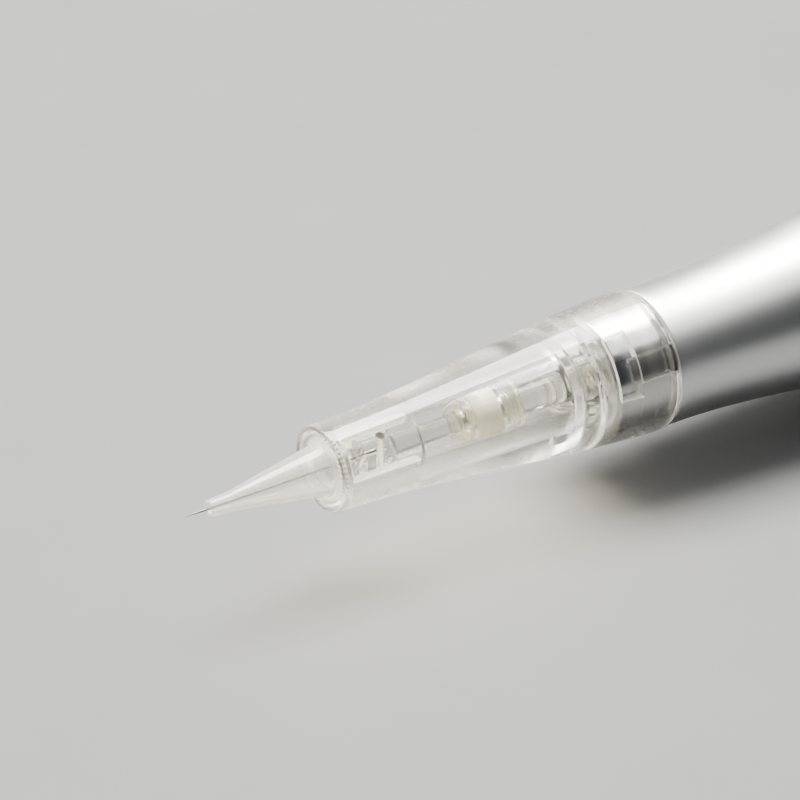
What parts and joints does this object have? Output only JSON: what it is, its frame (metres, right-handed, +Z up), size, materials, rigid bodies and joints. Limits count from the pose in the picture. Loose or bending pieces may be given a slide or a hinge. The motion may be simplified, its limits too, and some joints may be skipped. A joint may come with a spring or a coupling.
{
  "type": "permanent makeup machine",
  "caption": "Pen-shaped permanent makeup machine: waisted satin handle, clear bayonet needle cartridge with frosted nozzle, rear depth dial and jack socket.",
  "frame": {"origin": "centre of the footprint, on the surface that the tool lies on", "axes": "+X along the tool from the needle to the rear cap, +Z up, +Y to the left of the needle's direction seen from above, looking from the needle"},
  "size_m": [0.1606, 0.0228, 0.0229],
  "materials": {
    "clear_plastic": "clear moulded polycarbonate",
    "frosted_plastic": "milky translucent moulded plastic",
    "silicone": "soft translucent silicone",
    "satin_aluminium": "bead-blasted, silver anodised",
    "turned_aluminium": "fine turned",
    "polished_steel": "ground stainless",
    "bronze": "sintered",
    "white_acetal": "machined acetal",
    "black_rubber": "moulded",
    "laminated_iron": "stacked laminations",
    "ferrite": "sintered, matt",
    "copper": "plain",
    "dark_plastic": "moulded",
    "red_insulation": "PVC insulation",
    "black_insulation": "PVC insulation"
  },
  "bodies": {
    "handle": {"grip_shell": "satin_aluminium", "rear_housing": "satin_aluminium", "nose_spigot": "turned_aluminium", "front_bush": "bronze", "guide_block": "white_acetal", "guide_pin_1": "polished_steel", "guide_pin_2": "polished_steel", "housing_seal_ring": "black_rubber", "return_spring": "polished_steel", "end_cap": "satin_aluminium", "jack_socket": "dark_plastic", "socket_nut": "polished_steel", "socket_contact_1": "copper", "socket_contact_2": "copper", "lead_wire_1": "red_insulation", "lead_wire_2": "black_insulation"},
    "cartridge": {"cartridge_body": "clear_plastic", "guide_ring": "clear_plastic", "nozzle_tip": "frosted_plastic"},
    "needle_drive": {"needle": "polished_steel", "needle_bar": "clear_plastic", "seal_bead": "silicone", "silicone_plug": "silicone", "ribbed_seal": "silicone", "drive_tip": "white_acetal", "drive_rod": "polished_steel", "follower_plate": "polished_steel", "follower_stud": "polished_steel", "rod_clip": "polished_steel"},
    "dial": {"depth_dial": "satin_aluminium"},
    "carriage": {"motor_mount": "turned_aluminium", "carriage_sleeve": "turned_aluminium", "motor_can": "polished_steel", "motor_bearing": "bronze", "magnet_1": "ferrite", "magnet_2": "ferrite", "end_bell": "dark_plastic", "brush_1": "copper", "brush_2": "copper", "motor_terminal_1": "copper", "motor_terminal_2": "copper", "mount_screw_1": "polished_steel", "mount_screw_2": "polished_steel"},
    "rotor": {"motor_shaft": "polished_steel", "armature": "laminated_iron", "commutator": "copper", "swash_cam": "polished_steel", "cam_grub_screw": "polished_steel"}
  },
  "joints": [
    {"name": "cartridge_twist", "type": "hinge", "parent": "handle", "child": "cartridge", "pos_m": [-0.0265, 0, 0.01144], "axis": [-1, 0, 0], "range_deg": [0, 22.5]},
    {"name": "depth_dial_turn", "type": "hinge", "parent": "handle", "child": "dial", "pos_m": [0.071, 0, 0.01144], "axis": [1, 0, 0], "range_deg": [0, 300]},
    {"name": "carriage_slide", "type": "slide", "parent": "handle", "child": "carriage", "axis": [1, 0, 0], "range_m": [0, 0.0025], "deforming": ["lead_wire_1", "lead_wire_2"]},
    {"name": "motor_spin", "type": "hinge", "parent": "carriage", "child": "rotor", "pos_m": [0.05, 0, 0.01144], "axis": [1, 0, 0], "continuous": true},
    {"name": "needle_stroke", "type": "slide", "parent": "carriage", "child": "needle_drive", "axis": [1, 0, 0], "range_m": [0, 0.002], "deforming": ["return_spring"]}
  ],
  "couplings": [
    {"joint": "carriage_slide", "follows": "depth_dial_turn", "m_per_rad": 0.00047746}
  ]
}
